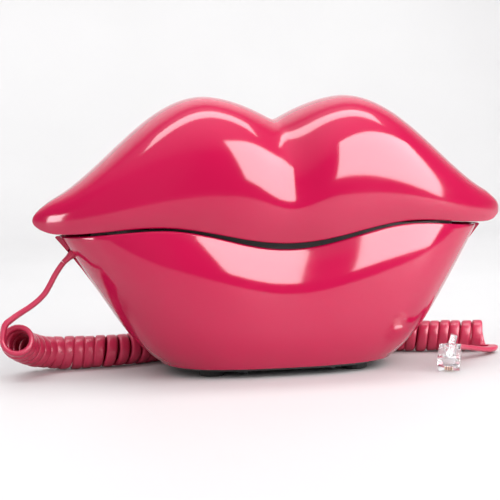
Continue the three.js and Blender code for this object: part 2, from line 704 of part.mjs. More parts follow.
// The filled outline of the collar, set in by inset and kept inside the shells at the deck.
function collarCore(inset, low, high) {
  const steps = 24;
  const end = RIM_HALF_LENGTH - WALL - COLLAR_END_INSET;
  const front = [];
  for (let i = 0; i <= steps; i += 1) {
    const x = end * Math.sin((Math.PI / 2) * ((2 * i) / steps - 1));
    front.push(new THREE.Vector2(x, inset - collarHalfDepth(x)));
  }
  const back = front.slice().reverse().map((p) => new THREE.Vector2(p.x, -p.y));
  const inLips = toSolid(plate([...front, ...back], low, high));
  return inLips.intersect(deckCore(inset, low, high));
}

// The deck that the handset hangs over, with a collar that closes the slit between the lips and
// two posts at each side that carry the handset.
function cradleDeck() {
  const holes = [roundHole(HOOK_X, 0, HOOK_R + GAP, 16)];
  let solid = deckCore(0, DECK_BOTTOM_Z, DECK_TOP_Z, holes);
  const collar = collarCore(0, DECK_TOP_Z - 1, COVER_BOTTOM_Z - COLLAR_BELOW_COVER);
  solid = solid.add(collar.subtract(collarCore(COLLAR_WALL, DECK_TOP_Z - 2, COVER_BOTTOM_Z)));
  const padBottom = COVER_BOTTOM_Z - GAP - PAD_THICKNESS;
  for (const [x, y] of restPlaces()) {
    solid = solid.add(toSolid(post(x, y, DECK_BOTTOM_Z + 1, padBottom - GAP, REST_R, 16)));
  }
  return fromSolid(solid.subtract(toSolid(glandBar(GLAND_HEAD_R + 2 * GAP, -24, 0))));
}

const REST_Y = collarHalfDepth(REST_X) - COLLAR_WALL - REST_R - REST_CLEARANCE;
const restPlaces = () => fourPlaces(REST_X, REST_Y);

// ---- hook switch ----
const SWITCH_TOP_Z = BOARD_Z + BOARD_THICKNESS + GAP + HOOK_SWITCH.height;
const HOOK_FLANGE_TOP_Z = DECK_BOTTOM_Z - HOOK_TRAVEL - GAP;
const HOOK_FLANGE_Z = HOOK_FLANGE_TOP_Z - HOOK_FLANGE_THICKNESS;

function hookPlunger() {
  const low = SWITCH_TOP_Z + GAP;
  const high = COVER_BOTTOM_Z - GAP;
  return turned(HOOK_X, 0, [
    [0, low], [HOOK_R - 0.8, low], [HOOK_R - 0.8, HOOK_FLANGE_Z], [HOOK_FLANGE_R, HOOK_FLANGE_Z],
    [HOOK_FLANGE_R, HOOK_FLANGE_TOP_Z], [HOOK_R, HOOK_FLANGE_TOP_Z], [HOOK_R, high - 1.5],
    [HOOK_R - 1.2, high], [0, high],
  ], 20);
}

function hookSpring() {
  const low = SWITCH_TOP_Z + GAP + SPRING_WIRE_R;
  const high = HOOK_FLANGE_Z - GAP - SPRING_WIRE_R;
  const steps = SPRING_TURNS * 9;
  const points = Array.from({ length: steps + 1 }, (_, i) => {
    const angle = (2 * Math.PI * SPRING_TURNS * i) / steps;
    const z = low + ((high - low) * i) / steps;
    return new THREE.Vector3(HOOK_X + SPRING_R * Math.cos(angle), SPRING_R * Math.sin(angle), z);
  });
  return tubeAlong(points, SPRING_WIRE_R, 5, steps);
}

// A tube of the given radius along a smooth curve through the points.
function tubeAlong(points, radius, sides, steps) {
  const section = new THREE.Shape(Array.from({ length: sides }, (_, i) => {
    const angle = (2 * Math.PI * i) / sides;
    return new THREE.Vector2(radius * Math.cos(angle), radius * Math.sin(angle));
  }));
  const path = new THREE.CatmullRomCurve3(points, false, 'centripetal');
  return new THREE.ExtrudeGeometry(section, { steps, extrudePath: path, bevelEnabled: false });
}

// ---- jacks, board, switches ----

// A modular jack: a box with a socket open towards +Y, set in from the shell's surface.
function jackBody({ x, z, deep, recess }, surface) {
  const back = surface - recess;
  const bottom = back - deep;
  const aroundPlug = (grow, low, high) => toSolid(block(
    [x - PLUG_WIDTH / 2 - grow, low, z - PLUG_HEIGHT / 2 - grow],
    [x + PLUG_WIDTH / 2 + grow, high, z + PLUG_HEIGHT / 2 + grow],
  ));
  const socket = aroundPlug(SOCKET_CLEARANCE, bottom + JACK_FLOOR, back + 1);
  return fromSolid(aroundPlug(JACK_WALL, bottom, back).subtract(socket));
}

// Where the rear shell lies at an x and height: its outside, or its inside with an inset of WALL.
function rearSurface(x, z, inset = 0) {
  const angle = Math.asin(THREE.MathUtils.clamp(x / baseHalfLength(levelShare(0, z), true), -1, 1));
  return basePoint(1, angle, levelShare(angle, z), inset).y;
}

// The rear face of a slide switch's body, just inside the shell at the nearest of its corners.
function switchBack(x) {
  const { halfWidth, halfHeight } = SWITCH_BODY;
  const corners = [-halfWidth, halfWidth].flatMap((dx) => [-halfHeight, halfHeight].map((dz) => (
    rearSurface(x + dx, SWITCH_Z + dz, WALL))));
  return Math.min(...corners) - SWITCH_CLEARANCE;
}

function switchKnob(x) {
  const [near, far] = [switchBack(x) + GAP, rearSurface(x, SWITCH_Z) + KNOB.outside];
  const [hx, hz] = [KNOB.width / 2, KNOB.height / 2];
  return block([x - hx, near, SWITCH_Z - hz], [x + hx, far, SWITCH_Z + hz]);
}

function switchBody(x) {
  const back = switchBack(x);
  const { halfWidth, halfHeight, deep } = SWITCH_BODY;
  const [low, high] = [SWITCH_Z - halfHeight, SWITCH_Z + halfHeight];
  return block([x - halfWidth, back - deep, low], [x + halfWidth, back, high]);
}

// A screw driven upwards, with the top of its head at seat.
function screwUp(x, y, seat, length) {
  const head = seat - SCREW_HEAD_H;
  return turned(x, y, [
    [0, head], [SCREW_HEAD_R * 0.8, head], [SCREW_HEAD_R, head + 0.5], [SCREW_HEAD_R, seat],
    [SCREW_R, seat], [SCREW_R, seat + length], [0, seat + length + 0.6],
  ], 10);
}

// ---- the cord ----
// It leaves the left flank at the parting line, falls to the open end of the curly part, which lies
// round the back of the base, and ends in a modular plug in front of the right end.
const CORD_R = CORD_THICKNESS / 2;

function strainRelief() {
  const headStart = -GLAND_INSIDE - GLAND_HEAD - 1.4;
  const taperStart = GLAND_OUTSIDE - GLAND_TAPER;
  return alongGland(new THREE.LatheGeometry([
    [0, headStart], [GLAND_HEAD_R, headStart], [GLAND_HEAD_R, headStart + GLAND_HEAD],
    [GLAND_R, headStart + GLAND_HEAD], [GLAND_R, taperStart], [GLAND_R - 0.3, taperStart],
    [CORD_R + 0.3, GLAND_OUTSIDE], [0, GLAND_OUTSIDE],
  ].map(([r, along]) => new THREE.Vector2(r, along)), 16));
}

const COIL_R = COIL_OUTSIDE / 2;

// Centre line of the lead, from the strain relief to the open end of the coil.
const LEAD_ROUTE = [
  [-96.8, 0, 51.8], [-98.4, 0, 49.8], [-100.8, 0, 46.2], [-102.9, 0, 42.4], [-105.4, 0, 38.4],
  [-108.6, 0, 35.2], [-112.4, 0, 32.4], [-116.4, 0, 30.0], [-120.4, -0.4, 27.4], [-123.6, -1.2, 24.6],
  [-125.2, -2.2, 21.4], [-125.4, -3.0, 18.4],
];

// Centre line of the coil, from its raised left end round the back of the base to its right end.
const COIL_ROUTE = [
  [-118.6, -2, 18.4], [-117.2, 5, 15.4], [-113.0, 13, 11.8], [-106.0, 19.5, 9.2], [-97.0, 22.8, 7.9],
  [-86.0, 23.4, 7.7], [-74.0, 24.0, 7.7], [-62.0, 28.2, 7.7], [-50.0, 34.8, 7.7], [-37.0, 41.6, 7.7],
  [-23.0, 46.2, 7.7], [-8.0, 48.2, 7.7], [8.0, 48.2, 7.7], [23.0, 46.2, 7.7], [37.0, 41.6, 7.7],
  [50.0, 35.0, 7.7], [61.0, 28.8, 7.7], [74.0, 23.6, 7.7], [86.5, 19.4, 7.7], [98.5, 15.8, 7.7],
  [106.5, 14.0, 7.7],
];

// Centre line of the tail, from the right end of the coil to the plug.
const TAIL_ROUTE = [
  [109.1, 12.4, 3.0], [109.6, 9.0, 2.4], [108.0, 5.0, 2.3], [104.6, 1.0, 2.6], [99.9, -2.8, 3.4],
  [94.8, -6.6, 4.6], [89.6, -10.6, 5.8], [84.8, -15.0, 6.9], [80.8, -19.6, 7.8], [77.6, -24.4, 8.3],
  [75.3, -28.8, 8.4],
];

const asPoints = (route) => route.map((p) => new THREE.Vector3(...p));

// The plug lies nose down on the ground, tipped up at its cord end.
function modularPlug() {
  const [hw, hh] = [PLUG_WIDTH / 2, PLUG_HEIGHT / 2];
  const body = toSolid(block([-hw, 0, -hh], [hw, PLUG_LENGTH, hh]));
  const mouthHalf = [CORD_WIDTH / 2 + GAP, CORD_R + GAP];
  const mouth = toSolid(block([-mouthHalf[0], -1, -mouthHalf[1]], [mouthHalf[0], 3, mouthHalf[1]]));
  const latchWidth = 3.2;
  const latchShape = new THREE.Shape([
    [PLUG_LENGTH - 1.2, hh - 0.5], [PLUG_LENGTH, hh - 0.5], [PLUG_LENGTH, hh + 0.6],
    [6.5, hh + 2.6], [-2.5, hh + 6.2], [-3.0, hh + 5.2], [6.0, hh + 1.6],
  ].map(([y, z]) => new THREE.Vector2(y, z)));
  const latch = new THREE.ExtrudeGeometry(latchShape, { depth: latchWidth, bevelEnabled: false });
  // the outline's x and y become Y and Z, and its depth lies across the plug
  latch.applyMatrix4(new THREE.Matrix4().makeBasis(
    new THREE.Vector3(0, 1, 0), new THREE.Vector3(0, 0, 1), new THREE.Vector3(1, 0, 0)));
  latch.translate(-latchWidth / 2, 0, 0);
  const plug = fromSolid(body.subtract(mouth).add(toSolid(latch)));
  plug.rotateX(THREE.MathUtils.degToRad(-PLUG_NOSE_DOWN));
  plug.rotateZ(THREE.MathUtils.degToRad(PLUG_TURN));
  return plug;
}

// ---- the assembly ----
const group = new THREE.Group();

function put(name, geometry, material, parent = group) {
  const mesh = new THREE.Mesh(geometry, material);
  mesh.name = name;
  parent.add(mesh);
  return mesh;
}

function addHandset() {
  put('handset_shell', handsetShell(), pinkPlastic);
  put('handset_cover', handsetCover(), pinkPlastic);
  for (const key of keys) {
    put(key.name, keyGeometry(key), whitePlastic);
  }
  const matLow = KEY_TOP_Z + KEY_TRAVEL + GAP;
  put('keypad_mat', aroundKeys(KEYPAD_MARGIN, matLow, MAT_THICKNESS), rubber);
  const boardLow = matLow + MAT_THICKNESS + GAP;
  const boardMargin = KEYPAD_MARGIN + HANDSET_BOARD_MARGIN;
  put('handset_board', aroundKeys(boardMargin, boardLow, BOARD_THICKNESS), boardGreen);
  const weightLow = boardLow + BOARD_THICKNESS + GAP;
  const { halfLength, halfDepth, height } = HANDSET_WEIGHT;
  put('handset_weight', block(
    [-halfLength, -halfDepth, weightLow],
    [halfLength, halfDepth, weightLow + height],
  ), steel);
  const inside = COVER_TOP_Z + GAP;
  put('receiver_speaker', turned(SPEAKER_X, 0, [
    [0, inside], [SPEAKER_R, inside], [SPEAKER_R, inside + 2.5], [SPEAKER_R - 4, inside + 5],
    [SPEAKER_R - 4, inside + 8], [0, inside + 8],
  ], 24), blackPlastic);
  put('microphone', post(MIC_X, 0, inside, inside + 5, MIC_R, 16), steel);
  const surface = handsetSurface(HANDSET_JACK.x, HANDSET_JACK.z);
  put('handset_jack', jackBody(HANDSET_JACK, surface), blackPlastic);
  for (const place of coverScrewPlaces()) {
    put(`cover_screw_${placeName(place)}`, screwUp(...place, COVER_BOTTOM_Z - GAP, 10), steel);
  }
}

function addBase() {
  put('base_front_shell', baseShell(-1), pinkPlastic);
  put('base_rear_shell', baseShell(1), pinkPlastic);
  put('cradle_deck', cradleDeck(), blackPlastic);
  put('bottom_plate', bottomPlate(), blackPlastic);
  const padTop = COVER_BOTTOM_Z - GAP;
  for (const place of restPlaces()) {
    put(`rest_pad_${placeName(place)}`, post(...place, padTop - PAD_THICKNESS, padTop, REST_R, 16), rubber);
  }
  const footTop = PLATE_BOTTOM_Z - GAP;
  for (const place of fourPlaces(RUBBER_FOOT_X, RUBBER_FOOT_Y)) {
    put(`foot_${placeName(place)}`, turned(...place, [
      [0, 0], [RUBBER_FOOT_R - 0.6, 0], [RUBBER_FOOT_R, 0.6], [RUBBER_FOOT_R, footTop], [0, footTop],
    ], 16), rubber);
  }
  for (const place of fourPlaces(BASE_SCREW_X, BASE_SCREW_Y)) {
    put(`base_screw_${placeName(place)}`, screwUp(...place, footTop, 12), steel);
  }
}

function addBaseInside() {
  const boardTop = BOARD_Z + BOARD_THICKNESS;
  put('base_board', block(
    [BOARD_LEFT_X, -BOARD_HALF_DEPTH, BOARD_Z],
    [BOARD_RIGHT_X, BOARD_HALF_DEPTH, boardTop],
  ), boardGreen);
  const { halfLength, halfDepth } = HOOK_SWITCH;
  put('hook_switch', block(
    [HOOK_X - halfLength, -halfDepth, boardTop + GAP],
    [HOOK_X + halfLength, halfDepth, SWITCH_TOP_Z],
  ), blackPlastic);
  put('hook_plunger', hookPlunger(), whitePlastic);
  put('hook_spring', hookSpring(), steel);
  const onPlate = PLATE_TOP_Z + GAP;
  put('base_weight', block(
    [BASE_WEIGHT.left, -BASE_WEIGHT.halfDepth, onPlate],
    [BASE_WEIGHT.right, BASE_WEIGHT.halfDepth, onPlate + BASE_WEIGHT.height],
  ), steel);
  put('ringer', turned(RINGER_X, 0, [
    [0, onPlate], [RINGER_R, onPlate], [RINGER_R, onPlate + 5], [RINGER_R - 2, onPlate + 7], [0, onPlate + 7],
  ], 24), brass);
  put('line_jack', jackBody(LINE_JACK, rearSurface(LINE_JACK.x, LINE_JACK.z)), blackPlastic);
  for (const { name, x } of SWITCHES) {
    put(`${name}_switch_knob`, switchKnob(x), blackPlastic);
    put(`${name}_switch_body`, switchBody(x), blackPlastic);
  }
}

function addCord() {
  put('strain_relief', strainRelief(), cordPlastic);
  put('cord_lead', tubeAlong(asPoints(LEAD_ROUTE), CORD_R, 8, 24), cordPlastic);
  put('cord_coil', tubeAlong(asPoints(COIL_ROUTE), COIL_R, 8, 48), cordPlastic);
  put('cord_tail', tubeAlong(asPoints(TAIL_ROUTE), CORD_R, 8, 24), cordPlastic);
  const plug = put('modular_plug', modularPlug(), clearPlastic);
  plug.position.set(...PLUG_PLACE);
}

addHandset();
addBase();
addBaseInside();
addCord();

export default group;
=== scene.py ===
import json
import math
import random

import bmesh
import bpy
from mathutils import Matrix, Vector


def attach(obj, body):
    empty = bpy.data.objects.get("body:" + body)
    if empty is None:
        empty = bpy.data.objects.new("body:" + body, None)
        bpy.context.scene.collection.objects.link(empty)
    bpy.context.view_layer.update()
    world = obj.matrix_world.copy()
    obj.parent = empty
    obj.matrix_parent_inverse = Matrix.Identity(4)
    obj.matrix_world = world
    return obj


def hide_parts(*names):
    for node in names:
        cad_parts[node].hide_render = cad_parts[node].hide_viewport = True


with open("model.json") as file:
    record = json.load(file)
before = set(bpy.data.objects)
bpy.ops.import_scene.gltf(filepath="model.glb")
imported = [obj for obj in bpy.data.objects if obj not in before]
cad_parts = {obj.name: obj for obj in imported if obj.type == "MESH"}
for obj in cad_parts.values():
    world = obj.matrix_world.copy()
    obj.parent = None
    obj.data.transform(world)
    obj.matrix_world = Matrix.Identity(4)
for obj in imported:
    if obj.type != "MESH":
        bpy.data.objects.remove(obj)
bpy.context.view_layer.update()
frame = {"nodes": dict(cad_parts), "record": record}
MM = 0.001                      # sizes are in millimetres unless a comment says metres
RANDOM = random.Random(11)

# ---- sizes shared with the CAD model ----
WALL = 2.5
EDGE_ROUND = 0.8                # rounding of the moulded edges
HANDSET_LENGTH = 220
HANDSET_DEPTH = 90
TIP_X = HANDSET_LENGTH / 2
PLAN_POWER = 2.4                # outline of the upper lip from above: how full its sides are
PLAN_BLUNTNESS = 0.8            # and how blunt its tips
FULLNESS = 0.87                 # under 1, a section of the upper lip is fuller than an ellipse
PEAK_Z = 125
PEAK_X = 31
DIP_DEPTH = 10.8
DIP_POWER = 1.7                 # how pointed the dip between the peaks is
DIP_ROUND = 2                   # square of the length over which its point is rounded
SHOULDER_Z = 76
SHOULDER_RUN = 85
TIP_Z = 71
TIP_ROUND = 10
GROOVE_DEPTH = 7                # groove down the middle of the upper lip
GROOVE_LOW_SHARE = 0.25         # share of that depth left at the bulge
GROOVE_WIDTH = 14
GROOVE_RISE = 1.3               # how soon it reaches its full depth on the way up
BULGE_Z = 81.5                  # height where the upper lip stands out most
BULGE_DROP = 11                 # its fall towards the tips
BULGE_DIP = 6                   # its fall in the groove
HANDSET_UNDERCUT = 5
SEAM_LOW_Z = 59.5
SEAM_RISE = 8
SEAM_RISE_X = 58
SEAM_FALL = 2.5
SEAM_GAP = 0.9
SEAM_GAP_MIDDLE = 1.7
RIM_HALF_LENGTH = 98
RIM_DEPTH = 78
BASE_DEPTH = 90
BASE_BULGE_V = 0.36
BASE_FLATNESS = 3.2
BASE_TAPER_POWER = 1.7          # how late the lower lip tapers in depth
RIM_BLUNTNESS = 0.62
BLUNTNESS_FALL = 0.15
BASE_HOLLOW_DEPTH = 3
BASE_HOLLOW_WIDTH = 27
FOOT_HALF_LENGTH = 52
FOOT_DEPTH = 64
FOOT_ROUND = 8                  # rounding of the bottom edge, lengthwise and front to back
FOOT_ROUND_DEPTH = 3
FOOT_ROUND_POWER = 8            # how tight that rounding is
FOOT_EDGE_Z = 4
REAR_FLARE = 3
REAR_FLARE_V = 0.45
PARTING_GAP = 0.16
JACK_MARGIN = 1.95              # from a plug to the edge of its jack's window in a shell
HANDSET_JACK_X, HANDSET_JACK_Z = -44, 88
LINE_JACK_Z = 19
SWITCH_X, SWITCH_Z = 24, 23
SWITCH_SLOT = (3.85, 1.85)      # half width and half height of a slide switch's slot
HANDSET_CUT_Y, JACK_CUT_Y, SWITCH_CUT_Y = 20, 24, 25     # inside the rear wall at each opening
BEYOND_REAR_Y = 60
GLAND_PLACE = Vector((-93.49, 0, 54.9))
GLAND_WAY = Vector((-0.74, 0, -0.67)).normalized()
GLAND_HOLE_R = 2.6
GLAND_HOLE_ENDS = (-10, 8)      # along the gland's way
CORD_WIDTH = 5
CORD_THICKNESS = 2.4
COIL_OUTSIDE = 15.2
COIL_PITCH = 5.2
PLUG_WIDTH = 9.65
PLUG_HEIGHT = 6.6
PLUG_LENGTH = 12.3
PLUG_PLACE = (73.6, -32.2, 8.5)
PLUG_NOSE_DOWN = 24
PLUG_TURN = 155
CONTACT_XS = (-1.53, -0.51, 0.51, 1.53)

# Centre lines of the cord, the same as in the CAD model.
LEAD_ROUTE = [
    (-96.8, 0, 51.8), (-98.4, 0, 49.8), (-100.8, 0, 46.2), (-102.9, 0, 42.4), (-105.4, 0, 38.4),
    (-108.6, 0, 35.2), (-112.4, 0, 32.4), (-116.4, 0, 30.0), (-120.4, -0.4, 27.4), (-123.6, -1.2, 24.6),
]
COIL_ROUTE = [
    (-118.6, -2, 18.4), (-117.2, 5, 15.4), (-113.0, 13, 11.8), (-106.0, 19.5, 9.2), (-97.0, 22.8, 7.9),
    (-86.0, 23.4, 7.7), (-74.0, 24.0, 7.7), (-62.0, 28.2, 7.7), (-50.0, 34.8, 7.7), (-37.0, 41.6, 7.7),
    (-23.0, 46.2, 7.7), (-8.0, 48.2, 7.7), (8.0, 48.2, 7.7), (23.0, 46.2, 7.7), (37.0, 41.6, 7.7),
    (50.0, 35.0, 7.7), (61.0, 28.8, 7.7), (74.0, 23.6, 7.7), (86.5, 19.4, 7.7), (98.5, 15.8, 7.7),
    (106.5, 14.0, 7.7),
]
TAIL_ROUTE = [
    (109.6, 9.0, 2.4), (108.0, 5.0, 2.3), (104.6, 1.0, 2.6), (99.9, -2.8, 3.4), (94.8, -6.6, 4.6),
    (89.6, -10.6, 5.8), (84.8, -15.0, 6.9), (80.8, -19.6, 7.8), (77.6, -24.4, 8.3), (75.3, -28.8, 8.4),
]


# ---- meshes ----
CREASE_DEGREES = 40             # an edge that turns more than this is sharp
BEVEL_DEGREES = 35              # and one that turns more than this is bevelled


def new_object(name, verts, faces, crease_degrees=CREASE_DEGREES):
    """A mesh object in metres from points in millimetres, smooth up to an angle."""
    mesh = bpy.data.meshes.new(name)
    mesh.from_pydata([Vector(v) * MM for v in verts], [], faces)
    obj = bpy.data.objects.new(name, mesh)
    bpy.context.scene.collection.objects.link(obj)
    tidy_mesh(obj, crease_degrees)
    return obj


def tidy_mesh(obj, crease_degrees=CREASE_DEGREES):
    """Merges shared points, points the faces out and marks the sharp edges."""
    bm = bmesh.new()
    bm.from_mesh(obj.data)
    bmesh.ops.remove_doubles(bm, verts=bm.verts, dist=1e-6)
    bmesh.ops.dissolve_degenerate(bm, edges=bm.edges, dist=1e-7)
    bmesh.ops.recalc_face_normals(bm, faces=bm.faces)
    crease = math.radians(crease_degrees)
    for face in bm.faces:
        face.smooth = True
    for edge in bm.edges:
        edge.smooth = edge.calc_face_angle(0) < crease
    bm.to_mesh(obj.data)
    bm.free()
    obj.data.update()


def loft(name, loops, capped=True, crease_degrees=CREASE_DEGREES):
    """A skin through closed loops of points. A cap joins each loop's first half to its second half."""
    n = len(loops[0])
    verts = [p for loop in loops for p in loop]
    faces = []
    for r in range(len(loops) - 1):
        for i in range(n):
            j = (i + 1) % n
            faces.append((r * n + i, r * n + j, (r + 1) * n + j, (r + 1) * n + i))
    if capped:
        for start in (0, (len(loops) - 1) * n):
            for i in range(n // 2 - 1):
                faces.append((start + i, start + i + 1, start + n - 2 - i, start + n - 1 - i))
    return new_object(name, verts, faces, crease_degrees)


def applied(obj):
    """Replaces an object's mesh by the one that its modifiers make."""
    graph = bpy.context.evaluated_depsgraph_get()
    mesh = bpy.data.meshes.new_from_object(obj.evaluated_get(graph))
    obj.modifiers.clear()
    obj.data = mesh


def cut(obj, tools, crease_degrees=CREASE_DEGREES):
    """Cuts the tools out of obj and removes them."""
    for tool in tools:
        modifier = obj.modifiers.new("cut", "BOOLEAN")
        modifier.operation = "DIFFERENCE"
        modifier.solver = "EXACT"
        modifier.object = tool
    applied(obj)
    for tool in tools:
        bpy.data.objects.remove(tool)
    tidy_mesh(obj, crease_degrees)


def box_object(name, low, high):
    corners = [(x, y, z) for x in (low[0], high[0]) for y in (low[1], high[1]) for z in (low[2], high[2])]
    faces = [(0, 1, 3, 2), (4, 6, 7, 5), (0, 4, 5, 1), (2, 3, 7, 6), (0, 2, 6, 4), (1, 5, 7, 3)]
    return new_object(name, corners, faces)


def rear_window(x, z, half_width, half_height, start_y):
    """A cutter for an opening in the rear of a shell."""
    return box_object("window", (x - half_width, start_y, z - half_height),
                      (x + half_width, BEYOND_REAR_Y, z + half_height))


def jack_window(x, z, start_y):
    return rear_window(x, z, PLUG_WIDTH / 2 + JACK_MARGIN, PLUG_HEIGHT / 2 + JACK_MARGIN, start_y)


def bevelled(obj, width):
    modifier = obj.modifiers.new("bevel", "BEVEL")
    modifier.width = width * MM
    modifier.segments = 2
    modifier.limit_method = "ANGLE"
    modifier.angle_limit = math.radians(BEVEL_DEGREES)
    return obj


# ---- materials ----
BUMP_DISTANCE = 0.0002          # metres


def new_material(name):
    """A new material with its nodes, links and shader."""
    material = bpy.data.materials.new(name)
    material.use_nodes = True
    nodes = material.node_tree.nodes
    shader = nodes["Principled BSDF"]
    return material, nodes, material.node_tree.links, shader


def noise(nodes, links, scale, detail):
    place = nodes.new("ShaderNodeTexCoord")
    texture = nodes.new("ShaderNodeTexNoise")
    texture.inputs["Scale"].default_value = scale
    texture.inputs["Detail"].default_value = detail
    links.new(place.outputs["Object"], texture.inputs["Vector"])
    return texture.outputs["Fac"]


def ramp(nodes, links, source, stops):
    """A colour ramp with stops of (position, colour)."""
    mixer = nodes.new("ShaderNodeValToRGB")
    elements = mixer.color_ramp.elements
    while len(elements) < len(stops):
        elements.new(0.5)
    for element, (position, colour) in zip(elements, stops):
        element.position = position
        element.color = (*colour, 1)
    links.new(source, mixer.inputs["Fac"])
    return mixer.outputs["Color"]


def spread_value(nodes, links, source, low, high):
    """Maps a 0 to 1 source onto low to high."""
    mapper = nodes.new("ShaderNodeMapRange")
    mapper.inputs["To Min"].default_value = low
    mapper.inputs["To Max"].default_value = high
    links.new(source, mapper.inputs["Value"])
    return mapper.outputs["Result"]


def bump(nodes, links, shader, height, strength):
    node = nodes.new("ShaderNodeBump")
    node.inputs["Strength"].default_value = strength
    node.inputs["Distance"].default_value = BUMP_DISTANCE
    links.new(height, node.inputs["Height"])
    links.new(node.outputs["Normal"], shader.inputs["Normal"])


def moulded_plastic(name, dark, light, rough, grain_scale=900, grain=0.03, coat=0.0):
    """Moulded plastic with slight tone variation, uneven gloss and a fine surface texture."""
    material, nodes, links, shader = new_material(name)
    tone = noise(nodes, links, 14, 3)
    links.new(ramp(nodes, links, tone, [(0.3, dark), (0.7, light)]), shader.inputs["Base Color"])
    gloss = noise(nodes, links, 60, 4)
    links.new(spread_value(nodes, links, gloss, rough[0], rough[1]), shader.inputs["Roughness"])
    shader.inputs["IOR"].default_value = 1.5
    shader.inputs["Coat Weight"].default_value = coat
    shader.inputs["Coat Roughness"].default_value = 0.04
    bump(nodes, links, shader, noise(nodes, links, grain_scale, 2), grain)
    return material


def metal(name, colour, rough):
    """Bare or coated metal with slight tone variation and uneven gloss."""
    material, nodes, links, shader = new_material(name)
    shader.inputs["Metallic"].default_value = 1
    tone = noise(nodes, links, 300, 3)
    low = tuple(c * 0.8 for c in colour)
    links.new(ramp(nodes, links, tone, [(0.35, low), (0.65, colour)]), shader.inputs["Base Color"])
    wear = spread_value(nodes, links, noise(nodes, links, 700, 2), *rough)
    links.new(wear, shader.inputs["Roughness"])
    return material


def clear_plastic():
    material, nodes, links, shader = new_material("clear_moulded_plastic")
    shader.inputs["Base Color"].default_value = (0.96, 0.97, 0.98, 1)
    shader.inputs["Transmission Weight"].default_value = 0.95
    shader.inputs["IOR"].default_value = 1.46
    haze = spread_value(nodes, links, noise(nodes, links, 500, 2), 0.03, 0.12)
    links.new(haze, shader.inputs["Roughness"])
    bump(nodes, links, shader, noise(nodes, links, 350, 2), 0.06)
    return material


LIP_PINK = moulded_plastic("gloss_pink_plastic", (0.42, 0.0018, 0.047), (0.46, 0.0026, 0.054), (0.09, 0.14),
                           grain_scale=420, grain=0.012, coat=0.15)
CORD_PINK = moulded_plastic("cord_pink_plastic", (0.44, 0.020, 0.065), (0.50, 0.028, 0.080), (0.26, 0.36),
                            grain_scale=1500, grain=0.05)
WHITE = moulded_plastic("white_key_plastic", (0.80, 0.77, 0.72), (0.86, 0.84, 0.80), (0.25, 0.36))
BLACK = moulded_plastic("black_plastic", (0.012, 0.012, 0.013), (0.022, 0.022, 0.024), (0.42, 0.56),
                        grain=0.15)
RUBBER = moulded_plastic("black_rubber", (0.010, 0.010, 0.010), (0.020, 0.019, 0.019), (0.75, 0.9),
                         grain=0.3)
GREEN = moulded_plastic("circuit_board", (0.01, 0.10, 0.04), (0.015, 0.14, 0.06), (0.35, 0.5))
STEEL = metal("zinc_steel", (0.72, 0.73, 0.75), (0.22, 0.42))
BLACKED = metal("blackened_steel", (0.03, 0.03, 0.032), (0.3, 0.45))
BRASS = metal("brass", (0.78, 0.58, 0.26), (0.22, 0.38))
CLEAR = clear_plastic()


# ---- the camera ----
CAMERA_AIM = Vector((-11.42, 0, 54.55))
CAMERA_DISTANCE = 600
CAMERA_TURN = math.radians(10.96)       # to the left of straight on
CAMERA_DOWN = math.radians(4.0)
CAMERA_ROLL = math.radians(1.26)
CAMERA_LENS = 93.7


def add_camera():
    turn, down, roll = CAMERA_TURN, CAMERA_DOWN, CAMERA_ROLL
    ahead = Vector((math.sin(turn) * math.cos(down), math.cos(turn) * math.cos(down), -math.sin(down)))
    level = Vector((math.cos(turn), -math.sin(turn), 0))
    upright = level.cross(ahead)
    right = level * math.cos(roll) - upright * math.sin(roll)
    up = level * math.sin(roll) + upright * math.cos(roll)
    data = bpy.data.cameras.new("camera")
    data.lens = CAMERA_LENS
    data.clip_start = 0.01
    data.clip_end = 20
    camera = bpy.data.objects.new("camera", data)
    bpy.context.scene.collection.objects.link(camera)
    place = (CAMERA_AIM - ahead * CAMERA_DISTANCE) * MM
    camera.matrix_world = Matrix((
        (right.x, up.x, -ahead.x, place.x),
        (right.y, up.y, -ahead.y, place.y),
        (right.z, up.z, -ahead.z, place.z),
        (0, 0, 0, 1),
    ))
    bpy.context.scene.camera = camera


# ---- the cord ----

def smooth_line(points, step):
    """Points about step apart on a smooth curve through the given ones."""
    knots = [Vector(p) for p in points]
    ends = [knots[0] * 2 - knots[1], *knots, knots[-1] * 2 - knots[-2]]
    line = []
    for a, b, c, d in zip(ends, ends[1:], ends[2:], ends[3:]):
        count = max(2, math.ceil((c - b).length / step))
        for i in range(count):
            t = i / count
            line.append(0.5 * (2 * b + (c - a) * t + (2 * a - 5 * b + 4 * c - d) * t ** 2
                               + (3 * b - a - 3 * c + d) * t ** 3))
    line.append(knots[-1])
    return line


def tangents(line):
    found = []
    for i in range(len(line)):
        found.append((line[min(i + 1, len(line) - 1)] - line[max(i - 1, 0)]).normalized())
    return found


class Axis:
    """The centre line of the coil, read by distance along it."""

    def __init__(self, points):
        self.line = smooth_line(points, 1.0)
        self.along = tangents(self.line)
        self.at = [0.0]
        for a, b in zip(self.line, self.line[1:]):
            self.at.append(self.at[-1] + (b - a).length)
        self.length = self.at[-1]

    def frame(self, distance):
        i = 1
        while i < len(self.at) - 1 and self.at[i] < distance:
            i += 1
        share = (distance - self.at[i - 1]) / (self.at[i] - self.at[i - 1])
        centre = self.line[i - 1].lerp(self.line[i], share)
        along = self.along[i - 1].lerp(self.along[i], share).normalized()
        right = along.cross(Vector((0, 0, 1))).normalized()
        return centre, along, right, right.cross(along)


TURN_STEPS = 26                 # points to a turn of the coil
LAST_TURN = 0.25                # share of a turn that ends the coil at its underside
TURN_SWELL = (-0.28, 0.22)      # how much one turn's radius may differ from the next one's
TURN_SLIP = (-0.5, 0.5)         # and its place along the coil


